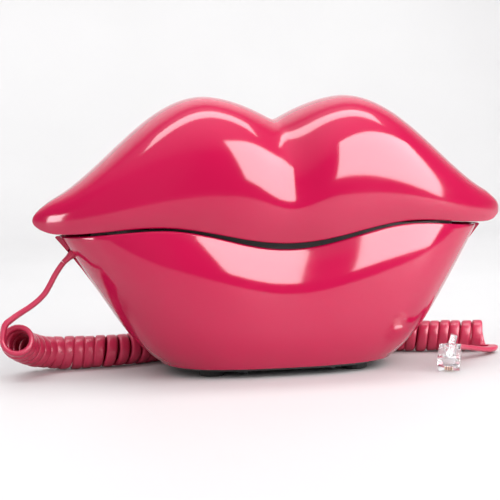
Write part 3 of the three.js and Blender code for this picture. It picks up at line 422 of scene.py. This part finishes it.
def helix_line():
    """The turns of the curly part: points and the way the cord's width lies at each."""
    axis = Axis(COIL_ROUTE)
    turns = round(axis.length / COIL_PITCH) + LAST_TURN
    steps = int(turns * TURN_STEPS)
    radius = (COIL_OUTSIDE - CORD_THICKNESS) / 2
    jitter = [(RANDOM.uniform(*TURN_SWELL), RANDOM.uniform(*TURN_SLIP)) for _ in range(int(turns) + 3)]
    points, widths = [], []
    for i in range(steps + 1):
        turn = i / TURN_STEPS
        k = int(turn)
        ease = (1 - math.cos(math.pi * (turn - k))) / 2
        swell = jitter[k][0] * (1 - ease) + jitter[k + 1][0] * ease
        slip = jitter[k][1] * (1 - ease) + jitter[k + 1][1] * ease
        fade = min(1, turn, turns - turn)
        distance = axis.length * i / steps + slip * fade
        centre, along, right, up = axis.frame(min(axis.length, max(0, distance)))
        angle = math.pi + 2 * math.pi * turn
        arm = radius + swell * fade
        points.append(centre + right * (arm * math.cos(angle)) + up * (arm * math.sin(angle)))
        widths.append(along)
    return points, widths


EDGE_STEPS = 5                  # steps round each edge of the flat cord


def cord_section():
    """Points of the flat cord's section, round at both edges, as (across, through) pairs."""
    half_width, half_thickness = CORD_WIDTH / 2, CORD_THICKNESS / 2
    flat = half_width - half_thickness
    section = []
    for side, start in ((1, -90), (-1, 90)):
        for i in range(EDGE_STEPS + 1):
            angle = math.radians(start + 180 / EDGE_STEPS * i)
            across = side * flat + half_thickness * math.cos(angle)
            section.append((across, half_thickness * math.sin(angle)))
    return section


CORD_STEP = 1.6                          # between points of the straight parts
LEAD_ACROSS = Vector((0.19, 0.98, 0))    # the flat cord leaves the base edge on to the front
TAIL_ACROSS = Vector((0.65, -0.75, 0))   # and lies flat on the ground at its other end
TAIL_FLAT_FROM = 0.35                    # shares of the tail at which it has turned flat
TAIL_FLAT_TO = 0.62                      # and starts to turn as the plug lies


def add_cord():
    coil, coil_widths = helix_line()
    lead = smooth_line(LEAD_ROUTE + [tuple(coil[0])], CORD_STEP)[:-1]
    tail = smooth_line([tuple(coil[-1])] + TAIL_ROUTE, CORD_STEP)[1:]
    lead_widths = [LEAD_ACROSS.lerp(coil_widths[0], (i / len(lead)) ** 2) for i in range(len(lead))]
    plug_across = Vector((math.cos(math.radians(PLUG_TURN)), math.sin(math.radians(PLUG_TURN)), 0))
    tail_widths = []
    for i in range(len(tail)):
        share = (i + 1) / len(tail)
        if share < 0.5:
            tail_widths.append(coil_widths[-1].lerp(TAIL_ACROSS, min(1, share / TAIL_FLAT_FROM)))
        else:
            turned = (share - TAIL_FLAT_TO) / (1 - TAIL_FLAT_TO)
            tail_widths.append(TAIL_ACROSS.lerp(-plug_across, max(0, turned)))
    line = lead + coil + tail
    widths = lead_widths + coil_widths + tail_widths
    loops = []
    for point, way, width in zip(line, tangents(line), widths):
        across = (width - way * width.dot(way)).normalized()
        through = way.cross(across)
        loops.append([point + across * a + through * b for a, b in cord_section()])
    cord = loft("curly_cord", loops, crease_degrees=70)
    cord.data.materials.append(CORD_PINK)
    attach(cord, "base")
    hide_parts("cord_lead", "cord_coil", "cord_tail")
    length = sum((b - a).length for a, b in zip(line, line[1:]))
    return cord, line, length * MM


# ---- the plug ----

def plug_matrix():
    return (Matrix.Translation(Vector(PLUG_PLACE) * MM) @ Matrix.Rotation(math.radians(PLUG_TURN), 4, "Z")
            @ Matrix.Rotation(math.radians(-PLUG_NOSE_DOWN), 4, "X"))


def extruded(name, outline, low, high):
    """A plate with an outline of (y, z) points, between two x values."""
    n = len(outline)
    verts = [(low, y, z) for y, z in outline] + [(high, y, z) for y, z in outline]
    faces = [tuple(range(n)), tuple(reversed(range(n, 2 * n)))]
    faces += [(i, (i + 1) % n, n + (i + 1) % n, n + i) for i in range(n)]
    return new_object(name, verts, faces, PLUG_CREASE_DEGREES)


PLUG_CREASE_DEGREES = 30
MOUTH_MARGIN = 0.3              # between the cord and each side of the plug's mouth
CONTACT_SLOT_HALF = 0.25        # half widths of a contact's slot and blade
BLADE_HALF = 0.17
LATCH_LEAN = -24                # degrees that the bent latch leans sideways
# the latch from the side: distance from the plug's cord end and height above its body
LATCH_OUTLINE = [
    (11.7, -0.2), (12.2, 0.2), (11.9, 0.9), (10.2, 1.5), (6.4, 2.8), (6.2, 3.4), (5.6, 3.5), (0.4, 5.2),
    (-0.3, 5.1), (-0.2, 4.5), (5.4, 2.3), (9.8, 0.7), (11.2, -0.2),
]
LATCH_HALF_WIDTH = 1.6


def add_plug():
    half_width, half_height = PLUG_WIDTH / 2, PLUG_HEIGHT / 2
    body = box_object("plug_body", (-half_width, 0, -half_height), (half_width, PLUG_LENGTH, half_height))
    half_mouth = CORD_WIDTH / 2 + MOUTH_MARGIN
    mouth = box_object("mouth", (-half_mouth, -1, -1.6), (half_mouth, 7.5, 1.6))
    crimp = box_object("crimp", (-2, 3.4, 1.9), (2, 5.6, 4))
    slots = [box_object("slot", (x - CONTACT_SLOT_HALF, PLUG_LENGTH - 4.2, -4),
                        (x + CONTACT_SLOT_HALF, PLUG_LENGTH + 1, -1.2)) for x in CONTACT_XS]
    cut(body, [mouth, crimp, *slots], PLUG_CREASE_DEGREES)
    applied(bevelled(body, 0.25))
    tidy_mesh(body, PLUG_CREASE_DEGREES)
    outline = [(y, half_height + rise) for y, rise in LATCH_OUTLINE]
    latch = extruded("plug_latch", outline, -LATCH_HALF_WIDTH, LATCH_HALF_WIDTH)
    root = Matrix.Translation(Vector((0, 0, half_height)) * MM)
    latch.data.transform(root @ Matrix.Rotation(math.radians(LATCH_LEAN), 4, "Y") @ root.inverted())
    applied(bevelled(latch, 0.2))
    tidy_mesh(latch, PLUG_CREASE_DEGREES)
    blades = [box_object("blade", (x - BLADE_HALF, PLUG_LENGTH - 4.0, -3.2),
                         (x + BLADE_HALF, PLUG_LENGTH - 0.3, -1.3)) for x in CONTACT_XS]
    contacts = joined("plug_contacts", blades)
    for piece, material, slot_name in ((body, CLEAR, "clear_plastic"), (latch, CLEAR, "clear_plastic"),
                                       (contacts, BRASS, "brass")):
        piece.data.transform(plug_matrix())
        piece.data.materials.clear()
        piece.data.materials.append(material)
        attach(piece, "base")
    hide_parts("modular_plug")
    return [body, latch, contacts]


def joined(name, objects):
    """One object with the meshes of several."""
    bm = bmesh.new()
    for obj in objects:
        bm.from_mesh(obj.data)
        bpy.data.objects.remove(obj)
    mesh = bpy.data.meshes.new(name)
    bm.to_mesh(mesh)
    bm.free()
    result = bpy.data.objects.new(name, mesh)
    bpy.context.scene.collection.objects.link(result)
    return result


# ---- the upper lip ----
LIP_SECTIONS = 150
LOWER_STEPS = 8                 # points of a section below the bulge
UPPER_STEPS = 22                # and steps above it
THIN_DEPTH = 6                  # half depth under which the edge's rounding shrinks


def half_wave(share):
    """A smooth rise from 0 to 1."""
    return (1 - math.cos(math.pi * min(1, max(0, share)))) / 2


def crest_z(x):
    away = math.sqrt(x * x + DIP_ROUND) - math.sqrt(DIP_ROUND)
    if away < PEAK_X:
        return PEAK_Z - DIP_DEPTH * (1 - away / PEAK_X) ** DIP_POWER
    return PEAK_Z - (PEAK_Z - SHOULDER_Z) * half_wave((away - PEAK_X) / SHOULDER_RUN)


def seam_z(x):
    away = abs(x)
    fall = half_wave((away - SEAM_RISE_X) / (RIM_HALF_LENGTH - SEAM_RISE_X))
    return SEAM_LOW_Z + SEAM_RISE * half_wave(away / SEAM_RISE_X) - SEAM_FALL * fall


def groove(x):
    return math.exp(-((x / GROOVE_WIDTH) ** 2))


def bulge_z(x):
    drop = BULGE_DROP * half_wave((abs(x) - PEAK_X) / (TIP_X - PEAK_X))
    return BULGE_Z - drop - BULGE_DIP * groove(x)


def groove_depth(x, angle):
    """Depth of the middle groove; the angle runs from 0 at the bulge to 90 degrees at the crest."""
    rise = math.sin(min(math.pi / 2, GROOVE_RISE * angle))
    return GROOVE_DEPTH * groove(x) * (GROOVE_LOW_SHARE + (1 - GROOVE_LOW_SHARE) * rise)


def handset_section(x, inset):
    """Heights and half depths of one section of the upper lip."""
    tip_x = TIP_X - inset
    into = max(0, (abs(x) - (tip_x - TIP_ROUND)) / TIP_ROUND)
    share = math.sqrt(max(0, 1 - into * into))
    full = max(0, 1 - abs(x / tip_x) ** PLAN_POWER) ** PLAN_BLUNTNESS
    depth = (HANDSET_DEPTH / 2 - inset) * full
    low_depth = max(0, depth - groove_depth(x, 0))
    top = TIP_Z + (crest_z(x) - TIP_Z) * share - inset * share
    bulge = TIP_Z + (bulge_z(x) - TIP_Z) * share
    bottom = TIP_Z + (seam_z(x) - TIP_Z) * share
    return top, bulge, bottom, depth, low_depth, HANDSET_UNDERCUT * low_depth / (HANDSET_DEPTH / 2)


def handset_profile(x, inset):
    """One side of a section from near its bottom edge to the crest, as (half depth, z)."""
    top, bulge, bottom, depth, low_depth, undercut = handset_section(x, inset)
    low = bottom + EDGE_ROUND * min(1, depth / THIN_DEPTH)
    profile = []
    for i in range(LOWER_STEPS):
        z = low + (bulge - low) * i / LOWER_STEPS
        share = (z - bottom) / max(1e-6, bulge - bottom)
        profile.append((low_depth - undercut * (1 - share) ** 2, z))
    for i in range(UPPER_STEPS + 1):
        angle = math.pi / 2 * i / UPPER_STEPS
        out = max(0, math.cos(angle)) ** FULLNESS
        half = max(0, depth - groove_depth(x, angle)) * out
        profile.append((half, bulge + (top - bulge) * math.sin(angle) ** FULLNESS))
    return profile


def rolled_edge(outer, inner, drop, steps=5):
    """Points of a round edge from the outer wall point to the inner one, standing out by drop."""
    middle = (outer + inner) / 2
    arm = (outer - inner) / 2
    points = []
    for i in range(1, steps):
        angle = math.pi * i / steps
        points.append(middle + arm * math.cos(angle) + Vector((0, 0, drop * math.sin(angle))))
    return points


def add_handset():
    loops = []
    for i in range(LIP_SECTIONS + 1):
        u = math.sin(math.pi / 2 * (2 * i / LIP_SECTIONS - 1))
        sides = []
        for inset in (0, WALL):
            x = (TIP_X - inset) * u
            if i in (0, LIP_SECTIONS):
                profile = [(0, TIP_Z)] * (LOWER_STEPS + UPPER_STEPS + 1)
            else:
                profile = handset_profile(x, inset)
            front = [Vector((x, -y, z)) for y, z in profile]
            back = [Vector((x, y, z)) for y, z in profile]
            sides.append((front, back))
        (front, back), (inner_front, inner_back) = sides
        drop = -EDGE_ROUND * min(1, abs(front[0].y) / THIN_DEPTH)
        loops.append(front + back[-2::-1] + rolled_edge(back[0], inner_back[0], drop)
                     + inner_back + inner_front[-2::-1] + rolled_edge(inner_front[0], front[0], drop))
    shell = loft("handset_lip_shell", loops, capped=False)
    cut(shell, [jack_window(HANDSET_JACK_X, HANDSET_JACK_Z, HANDSET_CUT_Y)])
    shell.data.materials.append(LIP_PINK)
    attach(shell, "handset")
    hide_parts("handset_shell")


# ---- the lower lip ----
# the boot at the cord's exit: distance along its way, half size along Y and half size across both
RELIEF_RINGS = [
    (-9.0, 3.6, 3.6), (-7.4, 3.6, 3.6), (-7.4, 2.4, 2.1), (-0.5, 2.4, 1.9), (1.6, 2.4, 1.45),
    (4.4, 2.45, 1.25),
]
RELIEF_SIDES = 28
BASE_SECTIONS = 110
BASE_LEVELS = 40
BASE_EDGE_SHARE = 0.016         # share of the height that each rounded edge takes


def add_strain_relief():
    """An oval boot, thin from the front, as wide as the flat cord."""
    across = Vector((0, 1, 0))
    other = GLAND_WAY.cross(across)
    loops = []
    for along, half_y, half_other in RELIEF_RINGS:
        middle = GLAND_PLACE + GLAND_WAY * along
        loops.append([middle + across * (half_y * math.cos(a)) + other * (half_other * math.sin(a))
                      for a in (math.tau * i / RELIEF_SIDES for i in range(RELIEF_SIDES))])
    relief = loft("strain_relief_boot", loops, crease_degrees=50)
    relief.data.materials.append(CORD_PINK)
    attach(relief, "base")
    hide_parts("strain_relief")


def rim_z(x):
    return seam_z(x) - SEAM_GAP - SEAM_GAP_MIDDLE * (1 - half_wave(abs(x) / SEAM_RISE_X))


def base_point(side, angle, v, inset):
    """A point of the lower lip: angle from corner to corner, v from the rim down."""
    rim = rim_z(RIM_HALF_LENGTH * math.sin(angle))
    flare = REAR_FLARE * max(0, 1 - v / REAR_FLARE_V) ** 2 if side > 0 else 0
    taper = RIM_HALF_LENGTH - FOOT_HALF_LENGTH - FOOT_ROUND
    length = RIM_HALF_LENGTH - taper * v - FOOT_ROUND * v ** FOOT_ROUND_POWER + flare - inset
    full = BASE_DEPTH / 2
    if v < BASE_BULGE_V:
        depth = full - (full - RIM_DEPTH / 2) * ((BASE_BULGE_V - v) / BASE_BULGE_V) ** 2
    else:
        below = (v - BASE_BULGE_V) / (1 - BASE_BULGE_V)
        fall = (full - FOOT_DEPTH / 2 - FOOT_ROUND_DEPTH) * below ** BASE_TAPER_POWER
        depth = full - fall - FOOT_ROUND_DEPTH * v ** FOOT_ROUND_POWER
    x = length * math.sin(angle)
    hollow = BASE_HOLLOW_DEPTH * math.exp(-((x / BASE_HOLLOW_WIDTH) ** 2)) * (1 - v * v)
    along = abs(math.sin(angle)) ** BASE_FLATNESS
    out = max(0, 1 - along) ** (RIM_BLUNTNESS - BLUNTNESS_FALL * v)
    y = max(0, (depth - inset) * out - hollow) + PARTING_GAP
    return Vector((x, side * y, rim + (FOOT_EDGE_Z - rim) * v))


def add_base_half(side, name, node):
    wall_share = 1 - 2 * BASE_EDGE_SHARE
    shares = [BASE_EDGE_SHARE + wall_share * i / BASE_LEVELS for i in range(BASE_LEVELS + 1)]
    loops = []
    for i in range(BASE_SECTIONS + 1):
        angle = math.pi * (i / BASE_SECTIONS - 0.5)
        outer = [base_point(side, angle, v, 0) for v in shares]
        inner = [base_point(side, angle, v, WALL) for v in shares]
        rim_roll = rolled_edge(inner[0], outer[0], EDGE_ROUND, 6)
        foot_roll = rolled_edge(outer[-1], inner[-1], -EDGE_ROUND, 6)
        half = len(rim_roll) // 2
        loops.append(rim_roll[half:] + outer + foot_roll + inner[::-1] + rim_roll[:half])
    shell = loft(name, loops)
    hole_ends = [GLAND_PLACE + along * GLAND_WAY for along in GLAND_HOLE_ENDS]
    tools = [cylinder_between("gland_hole", *hole_ends, GLAND_HOLE_R)]
    if side > 0:
        tools.append(jack_window(0, LINE_JACK_Z, JACK_CUT_Y))
        for x in (-SWITCH_X, SWITCH_X):
            tools.append(rear_window(x, SWITCH_Z, *SWITCH_SLOT, SWITCH_CUT_Y))
    cut(shell, tools)
    shell.data.materials.append(LIP_PINK)
    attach(shell, "base")
    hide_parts(node)


def cylinder_between(name, start, end, radius, sides=32):
    way = (end - start).normalized()
    across = way.cross(Vector((0, 1, 0))).normalized()
    other = way.cross(across)
    loops = [[p + (across * math.cos(t) + other * math.sin(t)) * radius
              for t in (2 * math.pi * i / sides for i in range(sides))] for p in (start, end)]
    return loft(name, loops)


# ---- CAD nodes that keep their shape ----
CAD_BEVEL = 0.25
LEGEND_SIZE = 6.5
LEGEND_HEIGHT = 0.16
SLOT_MATERIALS = {
    "pink_plastic": LIP_PINK, "cord_pink": CORD_PINK, "white_plastic": WHITE, "black_rubber": RUBBER,
    "black_plastic": BLACK, "green_board": GREEN, "steel": STEEL, "brass": BRASS,
    "clear_plastic": CLEAR,
}


def paint_cad_nodes():
    """Gives each CAD node its slot's material, the screws under the base a dark one, and soft edges."""
    for part in frame["record"]["subparts"]:
        obj = frame["nodes"][part["node"]]
        is_dark = part["node"].startswith("base_screw")
        obj.data.materials.clear()
        obj.data.materials.append(BLACKED if is_dark else SLOT_MATERIALS[part["material_slot"]])
        bevelled(obj, CAD_BEVEL)


def add_key_legends():
    """A raised digit on each key, read from below with the receiver's speaker end up."""
    legends = {f"key_{digit}": str(digit) for digit in range(10)}
    legends.update({"key_star": "*", "key_hash": "#"})
    for node, text in legends.items():
        key = frame["nodes"][node]
        corners = [key.matrix_world @ Vector(c) for c in key.bound_box]
        centre = sum(corners, Vector()) / len(corners)
        curve = bpy.data.curves.new(node + "_text", "FONT")
        curve.body = text
        curve.size = LEGEND_SIZE * MM
        curve.extrude = LEGEND_HEIGHT / 2 * MM
        curve.align_x = "CENTER"
        curve.align_y = "CENTER"
        writing = bpy.data.objects.new(node + "_text", curve)
        bpy.context.scene.collection.objects.link(writing)
        bpy.context.view_layer.update()
        graph = bpy.context.evaluated_depsgraph_get()
        mesh = bpy.data.meshes.new_from_object(writing.evaluated_get(graph))
        bpy.data.objects.remove(writing)
        face = min(c.z for c in corners)
        right, up, out = Vector((0, -1, 0)), Vector((-1, 0, 0)), Vector((0, 0, -1))
        for vertex in mesh.vertices:
            x, y, z = vertex.co
            vertex.co = Vector((centre.x, centre.y, face)) + right * x + up * y + out * z
        legend = bpy.data.objects.new(node + "_legend", mesh)
        bpy.context.scene.collection.objects.link(legend)
        legend.data.materials.append(BLACK)
        tidy_mesh(legend)
        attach(legend, node)


# ---- stage and light ----
FLOOR_REACH = 8000
CURVE_START = 900               # Y where the floor starts to curve up into the backdrop
CURVE_RADIUS = 500
CURVE_STEPS = 12
BACKDROP_TOP = 2600


def add_stage():
    floor_material, nodes, links, shader = new_material("pale_floor")
    tone = noise(nodes, links, 3, 3)
    links.new(ramp(nodes, links, tone, [(0.3, (0.53, 0.522, 0.522)), (0.7, (0.56, 0.552, 0.552))]),
              shader.inputs["Base Color"])
    shader.inputs["Roughness"].default_value = 0.55
    # the floor's section from in front of the telephone to the backdrop's top
    profile = [(-FLOOR_REACH, 0), (CURVE_START, 0)]
    for i in range(1, CURVE_STEPS + 1):
        angle = math.radians(90 * i / CURVE_STEPS)
        profile.append((CURVE_START + CURVE_RADIUS * math.sin(angle),
                        CURVE_RADIUS - CURVE_RADIUS * math.cos(angle)))
    profile.append((CURVE_START + CURVE_RADIUS, BACKDROP_TOP))
    verts = [(x, y, z) for y, z in profile for x in (-FLOOR_REACH, FLOOR_REACH)]
    faces = [(2 * i, 2 * i + 1, 2 * i + 3, 2 * i + 2) for i in range(len(profile) - 1)]
    floor = new_object("studio_floor", verts, faces)
    floor.data.materials.append(floor_material)


def add_area(name, place, aim, size, watts):
    data = bpy.data.lights.new(name, "AREA")
    data.shape = "RECTANGLE"
    data.size, data.size_y = size
    data.energy = watts
    light = bpy.data.objects.new(name, data)
    bpy.context.scene.collection.objects.link(light)
    light.location = place
    light.rotation_euler = (Vector(aim) - Vector(place)).to_track_quat("-Z", "Y").to_euler()
    return light


SUBJECT = Vector((0, 0, 0.08))  # in metres, as lights are placed
# name, degrees round from straight in front to the right, degrees up, roll, distance and size in
# metres, watts and what it lights
SOFTBOXES = [
    ("window_right", 47, 30, -12, 1.2, (1.55, 1.05), 22, ("diffuse",)),
    ("window_right_sheen", 46, 30, -15, 1.1, (1.36, 0.96), 40, ("gloss",)),
    ("window_left", -86, 4, 0, 1.2, (0.25, 0.3), 2.5, ("gloss",)),
    ("fill_left", -50, 25, 0, 1.2, (1.2, 1.2), 9, ("diffuse",)),
]
SKY_COLOUR = (0.92, 0.95, 1.0, 1)
SKY_STRENGTH = (0.14, 1.1)      # at the sides and straight overhead
SKY_RISE_FROM = 0.6             # height on the unit sphere from which it brightens


def add_lights():
    world = bpy.data.worlds.new("studio")
    world.use_nodes = True
    nodes, links = world.node_tree.nodes, world.node_tree.links
    background = nodes["Background"]
    background.inputs["Color"].default_value = SKY_COLOUR
    place = nodes.new("ShaderNodeTexCoord")
    parts = nodes.new("ShaderNodeSeparateXYZ")
    links.new(place.outputs["Generated"], parts.inputs["Vector"])
    overhead = spread_value(nodes, links, parts.outputs["Z"], *SKY_STRENGTH)
    overhead.node.inputs["From Min"].default_value = SKY_RISE_FROM
    links.new(overhead, background.inputs["Strength"])
    bpy.context.scene.world = world
    for name, turn, rise, roll, distance, size, watts, seen_by in SOFTBOXES:
        around, up = math.radians(turn), math.radians(rise)
        way = Vector((math.sin(around) * math.cos(up), -math.cos(around) * math.cos(up), math.sin(up)))
        light = add_area(name, SUBJECT + way * distance, SUBJECT, size, watts)
        light.rotation_euler.rotate_axis("Z", math.radians(roll))
        light.visible_diffuse = "diffuse" in seen_by
        light.visible_glossy = "gloss" in seen_by
    add_area("backdrop_wash", (0, 0.35, 1.7), (0, 1.4, 0.5), (2.4, 0.7), 33)
    bpy.context.scene.view_settings.view_transform = "Standard"


# ---- the assembly ----
add_camera()
cord, cord_line, cord_length = add_cord()
plug_pieces = add_plug()
add_strain_relief()
add_handset()
add_base_half(-1, "base_lip_front", "base_front_shell")
add_base_half(1, "base_lip_rear", "base_rear_shell")
paint_cad_nodes()
add_key_legends()
add_stage()
add_lights()
